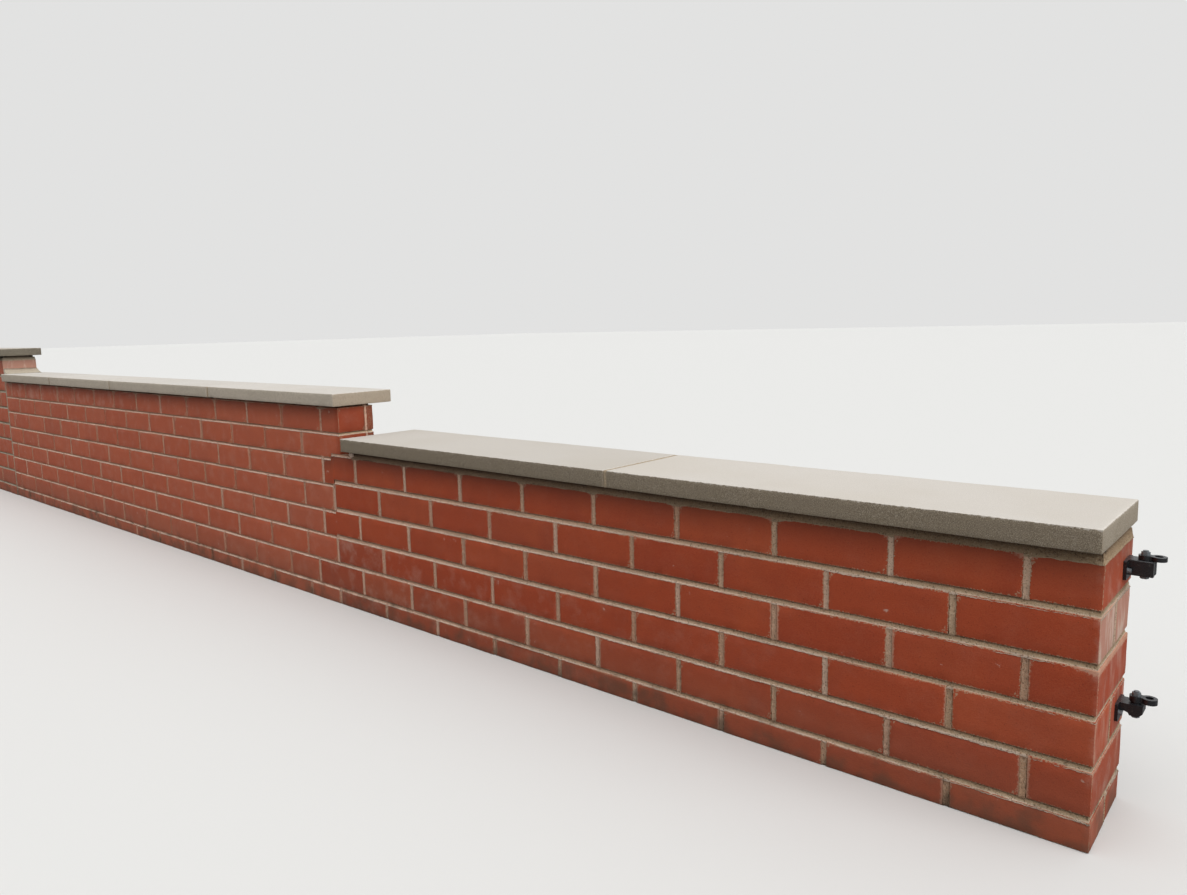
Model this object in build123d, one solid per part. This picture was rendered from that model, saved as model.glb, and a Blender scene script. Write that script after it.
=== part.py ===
# Stepped brick garden wall with stone copings and two gate hinge brackets.
# Millimetres. X runs along the wall with the gate end at +X, the street face
# looks towards -Y, +Z is up. The wall stands on its flat base.
import os
from build123d import *

os.makedirs("parts", exist_ok=True)

# Brickwork
wall_thickness = 215.0
old_thickness = 155.0
course_gauge = 82.5
lower_brick_top = 462.0
lower_length = 1997.0
middle_rise = 142.0
middle_length = 3113.0
upper_rise = 255.0
upper_length = 2000.0
tooth_depth = 92.0
back_leaf_front = 122.0
back_leaf_setback = 112.0

# Copings
coping_thickness = 38.0
coping_front_overhang = 25.0
coping_back_overhang = 30.0
old_back_overhang = 25.0
arris = 2.5
joint_width = 9.0
step_gap = 42.0
lower_bed = 19.5
middle_bed = 7.5
upper_bed = 24.5
bed_inset = 3.0
middle_end_overhang = 17.0
upper_end_overhang = 18.0
lower_first_flag = 947.0
middle_first_flag = 783.0
middle_second_flag = 875.0
middle_third_flag = 717.0
upper_first_flag = 998.0

# Gate hinge brackets on the end face, drops measured from the lower brick top
hinge_y = 167.0
eye_x = 44.5
eye_radius = 6.0
eye_outer_radius = 11.5
plate_thickness = 5.0
plate_width = 50.0
arm_width = 30.0
upper_plate_height = 32.0
upper_plate_drop = 42.0
upper_arm_length = 40.0
upper_arm_height = 25.0
upper_arm_top_drop = 25.0
lower_plate_height = 31.0
lower_plate_drop = 282.0
lower_arm_length = 38.0
lower_arm_height = 14.0
lower_arm_nose = 5.0
lower_arm_top_drop = 266.0
upper_spacer = 0.5
upper_strap_thickness = 7.0
lower_spacer = 3.0
lower_strap_thickness = 9.0
strap_width = 20.0
swivel_x = 26.0
swivel_radius = 4.0
nut_radius = 6.5
nut_height = 5.5
plate_bolt_radius = 4.0
plate_bolt_offset = 20.2

# The overall box is centred on the origin in plan
overall_left = -(lower_length + middle_length + upper_length)
overall_right = eye_x + eye_outer_radius
shift_x = -(overall_left + overall_right) / 2
shift_y = -(wall_thickness + coping_back_overhang - coping_front_overhang) / 2
place = Pos(shift_x, shift_y, 0)

middle_right = -lower_length
upper_right = -(lower_length + middle_length)
middle_brick_top = lower_brick_top + middle_rise
upper_brick_top = lower_brick_top + upper_rise


def block(x0, x1, y0, y1, z0, z1):
    """A box between two corners."""
    box = Box(x1 - x0, y1 - y0, z1 - z0)
    return Pos((x0 + x1) / 2, (y0 + y1) / 2, (z0 + z1) / 2) * box


def save(shape, name, label):
    """Moves a piece into the shared frame and writes it."""
    moved = place * shape
    moved.label = label
    export_step(moved, "parts/" + name + ".step")


def toothing(x_face, z_top):
    """The bricks of every other course that bond one bay into the thinner next."""
    teeth = None
    course = 0
    z = z_top
    while z > 0:
        z_low = max(0.0, z - course_gauge)
        if course % 2 == 0:
            tooth = block(x_face - tooth_depth, x_face, 0, old_thickness, z_low, z)
            teeth = tooth if teeth is None else teeth + tooth
        z = z_low
        course += 1
    return teeth


# Brick masses of the three bays, bonded by teeth below each step
lower_teeth = toothing(middle_right, lower_brick_top)
middle_teeth = toothing(upper_right, middle_brick_top - course_gauge)

lower_wall = block(middle_right, 0, 0, wall_thickness, 0, lower_brick_top)
lower_wall = lower_wall + lower_teeth
save(lower_wall, "lower_wall", "lower wall brickwork")

middle_wall = block(upper_right, middle_right, 0, old_thickness, 0, middle_brick_top)
middle_wall = middle_wall + middle_teeth - lower_teeth
# At the step the back leaf stops half a brick short of the front leaf
middle_wall -= block(
    middle_right - back_leaf_setback, middle_right + 1,
    back_leaf_front, old_thickness + 1,
    lower_brick_top, middle_brick_top + 1)
save(middle_wall, "middle_wall", "middle wall brickwork")

upper_wall = block(overall_left, upper_right, 0, old_thickness, 0, upper_brick_top)
upper_wall = upper_wall - middle_teeth
save(upper_wall, "upper_wall", "upper wall brickwork")


def bedding(x0, x1, z0, thickness, depth):
    """The mortar that a row of copings is bedded on."""
    return block(x0, x1, bed_inset, depth - bed_inset, z0, z0 + thickness)


lower_coping_left = middle_right + step_gap
middle_coping_left = upper_right + step_gap
middle_coping_right = middle_right + middle_end_overhang
upper_coping_right = upper_right + upper_end_overhang
lower_coping_z = lower_brick_top + lower_bed
middle_coping_z = middle_brick_top + middle_bed
upper_coping_z = upper_brick_top + upper_bed

save(bedding(lower_coping_left + 18, 0, lower_brick_top, lower_bed, wall_thickness),
     "lower_coping_bed", "mortar bed under the lower copings")
middle_bedding = bedding(middle_coping_left, middle_right, middle_brick_top,
                         middle_bed, old_thickness)
middle_bedding -= block(
    middle_right - back_leaf_setback, middle_right + 1,
    back_leaf_front, old_thickness + 1,
    middle_brick_top - 1, middle_brick_top + middle_bed + 1)
save(middle_bedding, "middle_coping_bed", "mortar bed under the middle copings")
save(bedding(overall_left, upper_right, upper_brick_top, upper_bed, old_thickness),
     "upper_coping_bed", "mortar bed under the upper copings")


def flag(x0, x1, y1, z0):
    """One coping flag with its top arris taken off."""
    slab = block(x0, x1, -coping_front_overhang, y1, z0, z0 + coping_thickness)
    slab = chamfer(slab.edges().group_by(Axis.Z)[-1], arris)
    return slab


def coping_joint(x, y1, z0):
    """The mortar between two flags, kept just below their faces."""
    half = joint_width / 2
    return block(x - half, x + half, -coping_front_overhang + arris, y1 - arris,
                 z0, z0 + coping_thickness - 1.0)


def coping_row(name, x_right, x_left, y_back, flag_lengths, z0):
    """A row of flags from the right end to the left with mortared joints."""
    joints = []
    x = x_right
    for length in flag_lengths:
        x -= length
        joints.append(x)
    edges = [x_right] + joints + [x_left]
    half = joint_width / 2
    for i in range(len(edges) - 1):
        x1 = edges[i] - (half if i > 0 else 0)
        x0 = edges[i + 1] + (half if i < len(edges) - 2 else 0)
        save(flag(x0, x1, y_back, z0), "%s_coping_%d" % (name, i + 1),
             "%s coping flag %d" % (name, i + 1))
    for i, x in enumerate(joints):
        save(coping_joint(x, y_back, z0), "%s_coping_joint_%d" % (name, i + 1),
             "%s coping joint %d" % (name, i + 1))


coping_back = wall_thickness + coping_back_overhang
old_coping_back = old_thickness + old_back_overhang
coping_row("lower", 0.0, lower_coping_left, coping_back,
           [lower_first_flag], lower_coping_z)
coping_row("middle", middle_coping_right, middle_coping_left, old_coping_back,
           [middle_first_flag, middle_second_flag, middle_third_flag], middle_coping_z)
coping_row("upper", upper_coping_right, overall_left, old_coping_back,
           [upper_first_flag], upper_coping_z)

# Mortar that closes the gap at the foot of the upper step and is worked up its face
fillet_rise = 26.0
fillet_spread = 30.0
profile_points = [
    (upper_right, middle_brick_top + middle_bed),
    (middle_coping_left, middle_brick_top + middle_bed),
    (middle_coping_left, middle_coping_z + coping_thickness),
    (middle_coping_left + fillet_spread, middle_coping_z + coping_thickness),
    (middle_coping_left + 4, middle_coping_z + coping_thickness + 5),
    (upper_right + 14, middle_coping_z + coping_thickness + 14),
    (upper_right, middle_coping_z + coping_thickness + fillet_rise),
]
fillet_face = Plane.XZ * make_face(Polyline(profile_points, close=True))
upper_fillet = extrude(fillet_face, amount=-old_thickness)
save(upper_fillet, "upper_step_fillet", "mortar fillet at the upper step")


upper_plate_z = lower_brick_top - upper_plate_drop
lower_plate_z = lower_brick_top - lower_plate_drop
upper_arm_top = lower_brick_top - upper_arm_top_drop
lower_arm_top = lower_brick_top - lower_arm_top_drop


def upright_hole(x, radius):
    """A cylinder that cuts a hole straight down through a bracket."""
    return Pos(x, hinge_y, 0) * extrude(Circle(radius), amount=upper_brick_top)


def plate(z, height):
    """A rectangular wall plate with eased corners."""
    body = block(0, plate_thickness, hinge_y - plate_width / 2, hinge_y + plate_width / 2,
                 z - height / 2, z + height / 2)
    return fillet(body.edges().filter_by(Axis.X), 3.0)


def plate_bolt(y, z):
    """The hexagon head and washer of a bolt through a wall plate."""
    head = extrude(Plane.YZ * RegularPolygon(plate_bolt_radius, 6), amount=4.5)
    washer = extrude(Plane.YZ * Circle(plate_bolt_radius * 1.12), amount=1.2)
    return Pos(plate_thickness, y, z) * (washer + Pos(1.2, 0, 0) * head)


def wall_plate(name, z, height):
    """A plate with a bolt in each wing beside the arm."""
    save(plate(z, height), name + "_hinge_plate", name + " hinge plate")
    for i, side in enumerate((-1, 1)):
        save(plate_bolt(hinge_y + side * plate_bolt_offset, z),
             "%s_hinge_bolt_%d" % (name, i + 1), "%s hinge plate bolt %d" % (name, i + 1))


def swivel(name, arm_top, arm_under, spacer, thickness):
    """A strap with an eye for the gate pivot, its swivel bolt and its nut."""
    strap_low = arm_top + spacer
    strap_high = strap_low + thickness
    neck = 0.7 * strap_width
    strap = block(swivel_x, eye_x, hinge_y - neck / 2, hinge_y + neck / 2, strap_low, strap_high)
    strap += Pos(swivel_x, hinge_y, strap_low) * extrude(Circle(strap_width / 2), amount=thickness)
    strap += Pos(eye_x, hinge_y, strap_low) * extrude(Circle(eye_outer_radius), amount=thickness)
    strap += Pos(swivel_x, hinge_y, arm_top) * extrude(Circle(strap_width / 2 - 2), amount=spacer)
    strap -= upright_hole(eye_x, eye_radius)
    strap -= upright_hole(swivel_x, swivel_radius)
    save(strap, name + "_hinge_strap", name + " hinge strap")
    bolt_low = arm_under - 6.0
    bolt_high = strap_high + nut_height + 2.0
    bolt = Pos(swivel_x, hinge_y, bolt_low) * extrude(Circle(swivel_radius), amount=bolt_high - bolt_low)
    bolt += Pos(swivel_x, hinge_y, bolt_low) * extrude(RegularPolygon(nut_radius, 6), amount=6.0)
    save(bolt, name + "_hinge_bolt", name + " hinge swivel bolt")
    nut = Pos(swivel_x, hinge_y, strap_high) * extrude(RegularPolygon(nut_radius, 6), amount=nut_height)
    nut -= upright_hole(swivel_x, swivel_radius)
    save(nut, name + "_hinge_nut", name + " hinge nut")


# Upper bracket: a deep square arm, hollowed at its end where the pivot passes
wall_plate("upper", upper_plate_z, upper_plate_height)
upper_arm_under = upper_arm_top - upper_arm_height
upper_arm = block(plate_thickness, upper_arm_length,
                  hinge_y - arm_width / 2, hinge_y + arm_width / 2,
                  upper_arm_under, upper_arm_top)
upper_arm = chamfer(upper_arm.edges().group_by(Axis.Z)[-1], 1.0)
upper_arm -= upright_hole(eye_x, eye_radius)
upper_arm -= upright_hole(swivel_x, swivel_radius)
save(upper_arm, "upper_hinge_arm", "upper hinge arm")
swivel("upper", upper_arm_top, upper_arm_under, upper_spacer, upper_strap_thickness)

# Lower bracket: a shallow arm that swells to a nose under the swivel bolt
wall_plate("lower", lower_plate_z, lower_plate_height)
lower_arm_under = lower_arm_top - lower_arm_height
lower_arm_low = lower_arm_under - lower_arm_nose
arm_profile = [
    (plate_thickness, lower_arm_top),
    (plate_thickness, lower_arm_under),
    (plate_thickness + 7, lower_arm_under + 1),
    (swivel_x - nut_radius - 2, lower_arm_under - 1),
    (swivel_x - nut_radius, lower_arm_low),
    (swivel_x + nut_radius, lower_arm_low),
    (lower_arm_length, lower_arm_under + 1),
    (lower_arm_length, lower_arm_top),
]
arm_face = Plane.XZ * make_face(Polyline(arm_profile, close=True))
lower_arm = Pos(0, hinge_y + arm_width / 2, 0) * extrude(arm_face, amount=arm_width)
lower_arm -= upright_hole(swivel_x, swivel_radius)
save(lower_arm, "lower_hinge_arm", "lower hinge arm")
swivel("lower", lower_arm_top, lower_arm_low, lower_spacer, lower_strap_thickness)
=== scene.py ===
"""Stepped brick garden wall with stone copings and two gate hinge brackets.

Lengths are millimetres along the wall from its gate-end corner: x is negative
towards the left, y is the depth from the street face, z is the height above the
lower brick top. place() turns them into metres in the row frame.
"""
import math

import bpy
import numpy as np
from mathutils import Matrix, Vector


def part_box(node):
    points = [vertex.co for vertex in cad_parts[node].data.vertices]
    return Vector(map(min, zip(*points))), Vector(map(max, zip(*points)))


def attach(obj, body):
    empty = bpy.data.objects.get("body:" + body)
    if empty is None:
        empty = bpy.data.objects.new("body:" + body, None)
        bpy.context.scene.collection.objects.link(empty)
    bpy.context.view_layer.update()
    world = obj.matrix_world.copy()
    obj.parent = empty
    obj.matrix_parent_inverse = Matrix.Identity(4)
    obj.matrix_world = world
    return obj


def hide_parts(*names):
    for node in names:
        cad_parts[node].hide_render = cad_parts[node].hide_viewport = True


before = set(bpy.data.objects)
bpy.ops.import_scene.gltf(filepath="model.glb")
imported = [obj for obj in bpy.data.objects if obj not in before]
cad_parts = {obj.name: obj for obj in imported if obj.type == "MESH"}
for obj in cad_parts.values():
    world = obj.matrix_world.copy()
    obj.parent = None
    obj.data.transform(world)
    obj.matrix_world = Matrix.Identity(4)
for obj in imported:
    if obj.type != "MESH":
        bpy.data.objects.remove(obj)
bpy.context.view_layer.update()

# All random draws share one generator, so their order settles how the wall looks. Mortar draws
# a seed too, which its material doesn't read.
rng = np.random.default_rng(11)

# Where the wall stands in the row frame
MM = 0.001
lower_low, lower_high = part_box("lower_wall")
ORIGIN = np.array([lower_high.x, lower_low.y, lower_high.z])


def place(points):
    """Row-frame metres from millimetres along the wall."""
    return np.asarray(points, float) * MM + ORIGIN


def node_box(name):
    """A node's lowest and highest corner in millimetres along the wall."""
    low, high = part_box(name)
    return (np.array(low) - ORIGIN) / MM, (np.array(high) - ORIGIN) / MM


def new_object(name, data):
    """An object with this mesh, light or camera, in the scene."""
    made = bpy.data.objects.new(name, data)
    bpy.context.scene.collection.objects.link(made)
    return made


GATE_END = 0.0
GROUND = node_box("lower_wall")[0][2]
THICK = node_box("lower_wall")[1][1]
MIDDLE_END, OLD_THICK, MIDDLE_TOP = node_box("middle_wall")[1]
WALL_LEFT = node_box("upper_wall")[0][0]
UPPER_END = node_box("upper_wall")[1][0]
UPPER_TOP = node_box("upper_wall")[1][2]

# Bricks and joints. Old sizes are those of the thinner middle and upper bays.
BRICK_LENGTH = 215.0
BRICK_DEPTH = 102.5
OLD_BRICK_DEPTH = 92.5
BRICK_HEIGHT = 72.5
OLD_BRICK_HEIGHT = 74.5
JOINT = 10.0
OLD_JOINT = 8.0
OLD_BED = 7.5
PITCH = BRICK_LENGTH + JOINT
LEAF_GAP = 10.0
BACK_LEAF = BRICK_DEPTH + LEAF_GAP
OLD_BACK_LEAF = OLD_BRICK_DEPTH + 7.0
LEAST_CUT = 30.0

# The back leaf of the middle bay stops short of the front leaf at the step
NOTCH_FRONT = 122.0
NOTCH_SETBACK = 112.0
NOTCH_X = MIDDLE_END - NOTCH_SETBACK

# How deep the pointing reaches in, and where the plain mortar behind it starts
RIBBON_DEPTH = 20.0
CORE_DEPTH = 15.0
BED_CORE_DEPTH = 12.0

# How high the hollow under an older coping is
OLDER_GAP = 7.0

# Grid steps along a whole brick of each bay, up a brick and into an open end, and how far apart
# each bay's beds are sampled
LOWER_STEPS, MIDDLE_STEPS, UPPER_STEPS = 22, 9, 7
HEIGHT_STEPS = 4
OPEN_END_STEPS = 8
LOWER_SPACING, MIDDLE_SPACING, UPPER_SPACING = 3.0, 7.0, 9.0

# Bed lines, as the height of each joint's middle at the right and left end
LOWER_BEDS = [(5, 3), (-77.5, -80), (-161.5, -165), (-242, -250),
              (-324.5, -334), (-407, -415), (-489.5, -498)]
MIDDLE_BEDS = [147, 65, -12, -93.5, -174.5, -253, -334.5, -415.5, -498]
UPPER_BEDS = [260, 177.5, 92, 8, -78, -163, -245, -329, -412, -496]

# Where lower courses turn into older ones. The older course above is raised right of there,
# and its mortar ends a little right of its bricks.
STEP_X = -2041.0
TOP_STEP_X = -2050.0
RAISED_BOTTOM = 4.5
RAISED_END = -1942.0

# How far the first perpend is from a free end, and from the upper bay's straight joint, in
# stretcher and header courses. The middle courses have their own.
FIRST_PERPENDS = (217.0, 98.0)
UPPER_PERPENDS = (220.0, 107.0)
MIDDLE_PERPENDS = [-2092.0, -2208.0] + 3 * [-2095.0 - PITCH, -2208.0]
LAST_PERPEND = -1960.0

# Where each lower course ends in the older wall, and how far its bricks have crept left there
TOOTH_ENDS = [-2090.0, -2036.0, -2102.0, -2035.0, -2145.0, -2036.0]
CREEP = [26.0, 26.0, 18.0, 18.0, 18.0, 18.0]
CREEP_LENGTH = 1900.0
WIDE_HEADER = [8.0, 0.0, 4.0, 0.0, 0.0, 0.0]
UPPER_FREE_COURSES = 2

# Pale haze on the end face of each lower course, partly lime and partly painted sky sheen, and
# mortar smeared down on its gate corner
GATE_HAZE_AND_SHEEN = [0.35, 0.95, 0.6, 0.6, 0.45, 0.5]
GATE_SMEAR = [0.0, 0.7, 1.0, 0.5, 0.7, 0.5]

# How bricks stray from the line, wear at their arrises and take mortar and dirt, and how far the
# painted shade below a coping reaches down
ARRIS = 1.6
END_STRAY = 0.8
FACE_STRAY = 0.7
HEIGHT_STRAY = 0.5
TWIST_DEGREES = 0.2
SWELL = 0.3
WEAR = 0.35
WEAR_BAND = 9.0
SMEAR_BAND = 12.0
CORNER_BAND = 15.0
GATE_LAP = 70.0
COPING_SHADE_BAND = 62.0

# Mortar tones: 0 is grey, 0.1 the newer bay's khaki and 1 the older wall's pink
GATE_TONE = 0.1
STEP_TONE = 0.6
MIDDLE_TONE = 0.95
UPPER_TONE = 0.0


class Parts:
    """Gathers vertices, faces and values at the vertices for one joined mesh."""

    def __init__(self):
        self.points = []
        self.faces = []
        self.values = []
        self.count = 0

    def add(self, points, faces, **values):
        self.points.append(points)
        self.faces.extend([[i + self.count for i in face] for face in faces])
        self.values.append({key: np.broadcast_to(value, len(points)) for key, value in values.items()})
        self.count += len(points)

    def build(self, name, material, slot, node):
        """Makes the joined mesh a piece that stands for a CAD node.

        A value is zero at vertices that were added without it.
        """
        mesh = bpy.data.meshes.new(name)
        mesh.from_pydata(place(np.concatenate(self.points)).tolist(), [], self.faces)
        for key in sorted(set().union(*self.values)):
            layer = mesh.attributes.new(key, "FLOAT", "POINT")
            chunks = [row.get(key, np.zeros(len(p))) for p, row in zip(self.points, self.values)]
            layer.data.foreach_set("value", np.concatenate(chunks).astype(np.float32))
        mesh.polygons.foreach_set("use_smooth", [True] * len(mesh.polygons))
        mesh.materials.append(material)
        mesh.validate()
        piece = new_object(name, mesh)
        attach(piece, "root")
        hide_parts(node)


def columns(count, *values):
    """Stacks columns, each of which is one number or count numbers."""
    return np.stack([np.broadcast_to(value, count) for value in values], 1)


def at(value, x):
    """A value that is either fixed or a function of x."""
    return value(x) if callable(value) else value


def wander(gone, wavelength):
    """Smooth random values between -1 and 1 at the distances gone along a run."""
    where = gone / wavelength
    values = rng.uniform(-1, 1, int(where[-1]) + 3)
    i = where.astype(int)
    t = where - i
    t = t * t * (3 - 2 * t)
    return values[i] * (1 - t) + values[i + 1] * t


def closing_wander(gone, closed):
    """wander() for one run, and the share that holds it back where the run closes on itself."""
    hold = np.clip(np.arange(len(gone)) / 12, 0, 1) if closed else 1.0
    return (lambda wavelength: wander(gone, wavelength) * hold), hold


def ripple(points, wavelength):
    """A gentle random swell over a block's surface, about -1 to 1."""
    total = np.zeros(len(points))
    for _ in range(4):
        wave = rng.normal(size=3) * 2 * math.pi / wavelength
        total += np.sin(points @ wave + rng.uniform(0, 6.28))
    return total / 2.5


def stops(length, radius, inner, low_round=True, high_round=True):
    """Grid stops along one side of a block, close together where an arris rounds."""
    start = radius if low_round else 0.0
    end = length - radius if high_round else length
    row = [0.0, 0.35 * radius] if low_round else []
    row += list(np.linspace(start, end, inner + 1))
    row += [length - 0.35 * radius, length] if high_round else []
    return np.array(row)


def shell(gx, gy, gz):
    """The surface grid of a block, as points and outward quads."""
    inside = np.zeros((len(gx), len(gy), len(gz)), bool)
    inside[1:-1, 1:-1, 1:-1] = True
    number = np.full(inside.shape, -1)
    number[~inside] = np.arange((~inside).sum())
    grid = np.meshgrid(gx, gy, gz, indexing="ij")
    points = np.stack([axis[~inside] for axis in grid], 1)

    def sheet(a, flip):
        quads = np.stack([a[:-1, :-1], a[1:, :-1], a[1:, 1:], a[:-1, 1:]], -1).reshape(-1, 4)
        return quads[:, ::-1] if flip else quads

    faces = np.concatenate([
        sheet(number[:, :, 0], True), sheet(number[:, :, -1], False),
        sheet(number[:, 0, :], False), sheet(number[:, -1, :], True),
        sheet(number[0, :, :], True), sheet(number[-1, :, :], False)])
    return points, faces.tolist()


def rounded(points, size, radius, arrises=(True, True)):
    """Rounds a block, at its front and back as arrises says. Returns points and outward directions."""
    low = np.where([True, arrises[0], True], radius, 0.0)
    high = np.where([True, arrises[1], True], size - radius, size)
    core = np.clip(points, low, high)
    off = points - core
    length = np.linalg.norm(off, axis=1, keepdims=True)
    direction = off / np.maximum(length, 1e-6)
    return core + direction * np.minimum(length, radius), direction


def arris_distance(points, size, free=(False, False)):
    """How far a block's surface points are from an arris. Open ends count on their own face only."""
    gaps = np.concatenate([points, size - points], 1)
    for column, open_end in zip((0, 3), free):
        if open_end:
            gaps[:, column] = np.where(gaps[:, column] < 0.01, 0.0, 50.0)
    return np.sort(gaps, axis=1)[:, 1]


def brick_marks(points, size, free, end_look, haze, grime, fade):
    """How hazy, smeared, dirty and faded a brick is at the points of its surface.

    Mortar was wiped over its jointed ends, and shade below a coping is painted in, with some
    grime. free says which ends stand open, end_look the haze with some painted sheen, the painted
    shade and the corner smear of the right one.
    """
    end_haze_and_sheen, end_shade, end_smear = end_look
    from_right = size[0] - points[:, 0]
    from_end = np.minimum(points[:, 0], from_right)
    below = size[2] - points[:, 2]
    wipes = [0.0 if open_end else rng.uniform(0.3, 1.0) ** 2.2 for open_end in free]
    wiped = np.where(points[:, 0] < size[0] / 2, *wipes)
    smear = wiped * np.clip(1 - from_end / SMEAR_BAND, 0, 1)
    if grime > 0:
        corner = 1 - from_end / rng.uniform(18, 48) - below / CORNER_BAND
        smear = np.maximum(smear, (wiped > 0) * np.clip(corner, 0, 1) * 1.1)
    lapped = 1.2 - from_right / GATE_LAP - below / CORNER_BAND
    smear = np.maximum(smear, free[1] * end_smear * np.clip(lapped, 0, 1))
    # Painted shade below a coping, with some grime, and painted shade on a shaded open end
    dark = grime * np.clip(1 - below / COPING_SHADE_BAND, 0, 1) ** 1.6
    on_end = np.clip((4 - from_right) / 3, 0, 1) * free[1]
    return {"haze": haze + on_end * (end_haze_and_sheen - haze), "smear": smear,
            "grime": np.maximum(dark, on_end * end_shade), "fade": fade * (1 - on_end)}


def add_brick(parts, xs, ys, course, inner, steps=(), arrises=(True, True), free=(False, False),
              end_look=(0.0, 0.0, 0.0), haze=0.0, grime=0.0, fade=0.0):
    """One brick of a course, between xs along the wall and ys in depth.

    inner is how many grid steps a whole brick's length takes, and the grid also stops
    at steps, where the course changes height.
    """
    x0, x1 = [x + rng.uniform(-END_STRAY, END_STRAY) for x in xs]
    middle = (x0 + x1) / 2
    height = float(course.high(middle) - course.low(middle))
    size = np.array([x1 - x0, ys[1] - ys[0], height])
    gx = stops(size[0], ARRIS, max(2, round(size[0] / BRICK_LENGTH * inner)))
    extra = [s - x0 + d for s in steps for d in (-1.5, 1.5) if x0 + 5 < s < x1 - 5]
    if all(arrises):
        inner_depth = max(1, round(size[1] / BRICK_LENGTH * inner))
    else:
        inner_depth = OPEN_END_STEPS if any(free) else 1
    points, faces = shell(np.array(sorted([*gx, *extra])), stops(size[1], ARRIS, inner_depth, *arrises),
                          stops(height, ARRIS, HEIGHT_STEPS))
    edge = arris_distance(points, size, free)
    marks = brick_marks(points, size, free, end_look, haze, grime, fade)
    points, out = rounded(points, size, ARRIS, arrises)
    near = np.clip(1 - edge / WEAR_BAND, 0, 1)
    push = SWELL * ripple(points, 160) + WEAR * near * rng.uniform(-1, 0.6, len(points))
    points += out * push[:, None]
    twist = math.radians(rng.uniform(-TWIST_DEGREES, TWIST_DEGREES))
    face_out = rng.uniform(-FACE_STRAY, FACE_STRAY)
    x = points[:, 0] + x0
    y = points[:, 1] + ys[0] + face_out + (points[:, 0] - size[0] / 2) * math.sin(twist)
    low, high = course.low(x), course.high(x)
    z = low + points[:, 2] / height * (high - low) + rng.uniform(-HEIGHT_STRAY, HEIGHT_STRAY)
    marks["seed"] = rng.uniform(0, 1)
    marks["fade"] += rng.uniform(-0.06, 0.06)
    parts.add(np.stack([x, y, np.maximum(z, GROUND)], 1), faces, edge=edge * MM, **marks)


def bed_line(bed, x):
    """Height of a lower-bay bed line, which runs on level into the middle bay."""
    right, left = bed
    return right + (left - right) * np.clip(x / MIDDLE_END, 0, 1.1)


def level_edges(beds, i):
    """Bottom and top edges of course i under level bed lines, counted from 1 at the top."""
    height = min(OLD_BRICK_HEIGHT, beds[i - 1] - beds[i] - OLD_BED)
    centre = (beds[i - 1] + beds[i]) / 2
    bottom = max(centre - height / 2, GROUND)
    over_step = beds is MIDDLE_BEDS and i == 2

    def low(x):
        return np.where(over_step & (np.asarray(x, float) > TOP_STEP_X), RAISED_BOTTOM, bottom)

    def high(x):
        return np.full_like(np.asarray(x, float), centre + height / 2)

    return low, high


def lower_edges(i):
    """Bottom and top edges of lower course i, which past the step are the older wall's."""
    old_low, old_high = level_edges(MIDDLE_BEDS, i + 2)
    top_step = TOP_STEP_X if i == 1 else STEP_X

    def centre(x):
        return (bed_line(LOWER_BEDS[i - 1], x) + bed_line(LOWER_BEDS[i], x)) / 2

    def low(x):
        x = np.asarray(x, float)
        return np.maximum(np.where(x > STEP_X, centre(x) - BRICK_HEIGHT / 2, old_low(x)), GROUND)

    def high(x):
        x = np.asarray(x, float)
        return np.where(x > top_step, centre(x) + BRICK_HEIGHT / 2, old_high(x))

    return low, high


def perpends(first, x_left, short=40.0):
    """Perpend middles from the first one leftwards, leaving no sliver at the end."""
    return list(np.arange(first, x_left + short, -PITCH))


class Course:
    """One course of a bay. front and back are the right and left end of each leaf."""

    def __init__(self, edges, thick, front, back, joints, end_look, right_header=False,
                 left_header=False, haze=0.0, grime=0.0, fade=0.0):
        self.low, self.high = edges
        self.thick = thick
        self.front = front
        self.back = back
        self.joints = joints
        self.end_look = end_look
        self.right_header = right_header
        self.left_header = left_header
        self.haze = haze
        self.grime = grime
        self.fade = fade
        self.newer = thick > OLD_THICK + 1
        self.depth = BRICK_DEPTH if self.newer else OLD_BRICK_DEPTH
        self.joint = JOINT if self.newer else OLD_JOINT

    def heights(self, x, over=2):
        """Where the mortar of a perpend at x starts and ends, just past the bricks."""
        return max(float(self.low(x)) - 2, GROUND), float(self.high(x)) + over

    def perpends_of(self, right, left):
        """The perpends of a leaf that leave no sliver at its ends."""
        return [j for j in self.joints if left + LEAST_CUT < j < right - LEAST_CUT]

    def bricks_of(self, right, left):
        """The left and right end of each brick of a leaf, from the right."""
        joints = self.perpends_of(right, left)
        rights = [right] + [j - self.joint / 2 for j in joints]
        lefts = [j + self.joint / 2 for j in joints] + [left]
        return list(zip(lefts, rights))


def lay_course(parts, course, inner, steps=()):
    """The bricks of a course on the front and back leaf, with headers across an end."""
    thick, depth = course.thick, course.depth
    leaves = ((course.front, (0.0, depth), (True, False)),
              (course.back, (max(thick - depth, depth + LEAF_GAP), thick), (False, True)))
    for behind, ((right, left), ys, arrises) in enumerate(leaves):
        rows = course.bricks_of(right, left)
        for n, (x0, x1) in enumerate(rows):
            header = (n == 0 and course.right_header) or (n == len(rows) - 1 and course.left_header)
            if header and behind:
                continue
            free = (x0 in (WALL_LEFT, MIDDLE_END), x1 in (GATE_END, MIDDLE_END, UPPER_END))
            add_brick(parts, (x0, x1), (0.0, thick) if header else ys, course, inner, steps,
                      (True, True) if header else arrises, free, course.end_look,
                      at(course.haze, x0), at(course.grime, x0), course.fade)


def along(x):
    """How far along the lower bay x is, from 0 at the gate to 1 at the older wall."""
    return np.clip(np.asarray(x, float) / MIDDLE_END, 0, 1)


def rising(start, gain, power=1.0):
    """A value that rises by gain along the lower bay, as a function of x."""
    return lambda x: start + gain * along(x) ** power
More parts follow.
